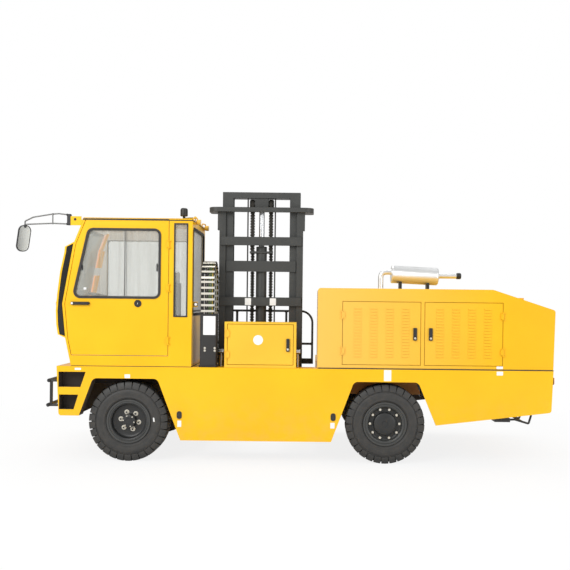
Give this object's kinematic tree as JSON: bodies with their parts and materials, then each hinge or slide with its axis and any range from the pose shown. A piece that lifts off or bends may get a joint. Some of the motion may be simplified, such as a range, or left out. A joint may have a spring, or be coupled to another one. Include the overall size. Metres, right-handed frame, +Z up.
{
  "type": "side loader forklift",
  "caption": "Side loader forklift: cab ahead and engine hood behind, a mast between them that reaches out sideways over the load decks, on pneumatic tyres.",
  "frame": {"origin": "on the ground under the middle of the truck's bounding box", "axes": "+X to the rear of the truck, +Y to the load side, +Z up"},
  "size_m": [5.6965, 2.238, 2.914],
  "materials": {
    "yellow_paint": "gloss",
    "dark_grey_paint": "satin",
    "black_paint": "satin",
    "tyre_rubber": "matt",
    "window_glass": "clear",
    "seat_fabric": "woven",
    "bright_steel": "bare",
    "chrome_rod": "polished",
    "chain_steel": "oiled",
    "lamp_lens": "gloss"
  },
  "bodies": {
    "chassis": {"chassis_frame": "yellow_paint", "front_deck": "dark_grey_paint", "rear_deck": "dark_grey_paint", "fuel_tank": "black_paint", "hydraulic_tank": "black_paint", "front_guard": "black_paint", "rear_step": "black_paint", "steer_axle": "dark_grey_paint", "drive_axle": "dark_grey_paint", "cab_shell": "yellow_paint", "cab_roof": "yellow_paint", "cab_glass": "window_glass", "windscreen_guard": "yellow_paint", "mirror": "black_paint", "roof_lamps": "lamp_lens", "seat_base": "black_paint", "seat_cushions": "seat_fabric", "steering_column": "black_paint", "engine_hood": "yellow_paint", "radiator_grille": "black_paint", "engine_block": "black_paint", "exhaust": "bright_steel", "toolbox": "yellow_paint", "guide_post": "dark_grey_paint", "hose_guide_chain": "black_paint", "head_lamps": "lamp_lens", "tail_lamps": "lamp_lens"},
    "cab_door": {"cab_door": "yellow_paint", "door_glass": "window_glass"},
    "hood_door_front": {"hood_door_front": "yellow_paint"},
    "hood_door_rear": {"hood_door_rear": "yellow_paint"},
    "toolbox_door": {"toolbox_door": "yellow_paint"},
    "steering_near": {"steering_knuckle_near": "dark_grey_paint"},
    "steering_far": {"steering_knuckle_far": "dark_grey_paint"},
    "steer_wheel_near": {"steer_tyre_near": "tyre_rubber", "steer_rim_near": "dark_grey_paint"},
    "steer_wheel_far": {"steer_tyre_far": "tyre_rubber", "steer_rim_far": "dark_grey_paint"},
    "drive_wheel_near": {"drive_tyre_near": "tyre_rubber", "drive_rim_near": "dark_grey_paint"},
    "drive_wheel_far": {"drive_tyre_far": "tyre_rubber", "drive_rim_far": "dark_grey_paint"},
    "traverse": {"traverse_frame": "dark_grey_paint"},
    "tilt_barrels": {"tilt_cylinder_barrels": "dark_grey_paint"},
    "tilt_rods": {"tilt_cylinder_rods": "chrome_rod"},
    "outer_mast": {"outer_mast": "dark_grey_paint", "lift_cylinder": "dark_grey_paint"},
    "inner_mast": {"inner_mast": "dark_grey_paint", "lift_chains": "chain_steel", "mast_hoses": "black_paint"},
    "carriage": {"fork_carriage": "dark_grey_paint", "load_backrest": "dark_grey_paint", "forks": "dark_grey_paint"}
  },
  "joints": [
    {"name": "cab_door_hinge", "type": "hinge", "parent": "chassis", "child": "cab_door", "pos_m": [-1.2475, -1.099, 1.83], "axis": [0, 0, 1], "range_deg": [0, 95]},
    {"name": "front_hood_door_hinge", "type": "hinge", "parent": "chassis", "child": "hood_door_front", "pos_m": [0.5875, -1.099, 1.38], "axis": [0, 0, -1], "range_deg": [0, 110]},
    {"name": "rear_hood_door_hinge", "type": "hinge", "parent": "chassis", "child": "hood_door_rear", "pos_m": [2.2755, -1.099, 1.38], "axis": [0, 0, 1], "range_deg": [0, 110]},
    {"name": "toolbox_door_hinge", "type": "hinge", "parent": "chassis", "child": "toolbox_door", "pos_m": [-0.6225, -1.099, 1.25], "axis": [0, 0, -1], "range_deg": [0, 105]},
    {"name": "steer_near", "type": "hinge", "parent": "chassis", "child": "steering_near", "pos_m": [-1.661, -0.79, 0.419], "axis": [0, 0, 1], "range_deg": [-30, 30]},
    {"name": "steer_far", "type": "hinge", "parent": "chassis", "child": "steering_far", "pos_m": [-1.661, 0.79, 0.419], "axis": [0, 0, 1], "range_deg": [-30, 30]},
    {"name": "steer_wheel_near_spin", "type": "hinge", "parent": "steering_near", "child": "steer_wheel_near", "pos_m": [-1.661, -0.9625, 0.419], "axis": [0, 1, 0], "continuous": true},
    {"name": "steer_wheel_far_spin", "type": "hinge", "parent": "steering_far", "child": "steer_wheel_far", "pos_m": [-1.661, 0.9625, 0.419], "axis": [0, 1, 0], "continuous": true},
    {"name": "drive_wheel_near_spin", "type": "hinge", "parent": "chassis", "child": "drive_wheel_near", "pos_m": [1.048, -0.9625, 0.419], "axis": [0, 1, 0], "continuous": true},
    {"name": "drive_wheel_far_spin", "type": "hinge", "parent": "chassis", "child": "drive_wheel_far", "pos_m": [1.048, 0.9625, 0.419], "axis": [0, 1, 0], "continuous": true},
    {"name": "mast_traverse", "type": "slide", "parent": "chassis", "child": "traverse", "axis": [0, 1, 0], "range_m": [0, 1.15], "deforming": ["hose_guide_chain"]},
    {"name": "mast_tilt", "type": "hinge", "parent": "traverse", "child": "outer_mast", "pos_m": [-0.306, -0.53, 0.4], "axis": [1, 0, 0], "range_deg": [-5, 3]},
    {"name": "tilt_barrel_swing", "type": "hinge", "parent": "traverse", "child": "tilt_barrels", "pos_m": [-0.306, -0.78, 0.56], "axis": [1, 0, 0], "range_deg": [-7, 4.5]},
    {"name": "tilt_rod_slide", "type": "slide", "parent": "tilt_barrels", "child": "tilt_rods", "axis": [0, 0.1344, 0.9909], "range_m": [-0.02, 0.03]},
    {"name": "inner_mast_lift", "type": "slide", "parent": "outer_mast", "child": "inner_mast", "axis": [0, 0, 1], "range_m": [-0.22, 1.4], "deforming": ["lift_chains"]},
    {"name": "carriage_lift", "type": "slide", "parent": "inner_mast", "child": "carriage", "axis": [0, 0, 1], "range_m": [-0.22, 1.4]}
  ],
  "couplings": [
    {"joint": "steer_far", "follows": "steer_near", "ratio": 1},
    {"joint": "carriage_lift", "follows": "inner_mast_lift", "ratio": 1},
    {"joint": "tilt_barrel_swing", "follows": "mast_tilt", "ratio": 1.2099},
    {"joint": "tilt_rod_slide", "follows": "mast_tilt", "m_per_rad": -0.26923}
  ]
}
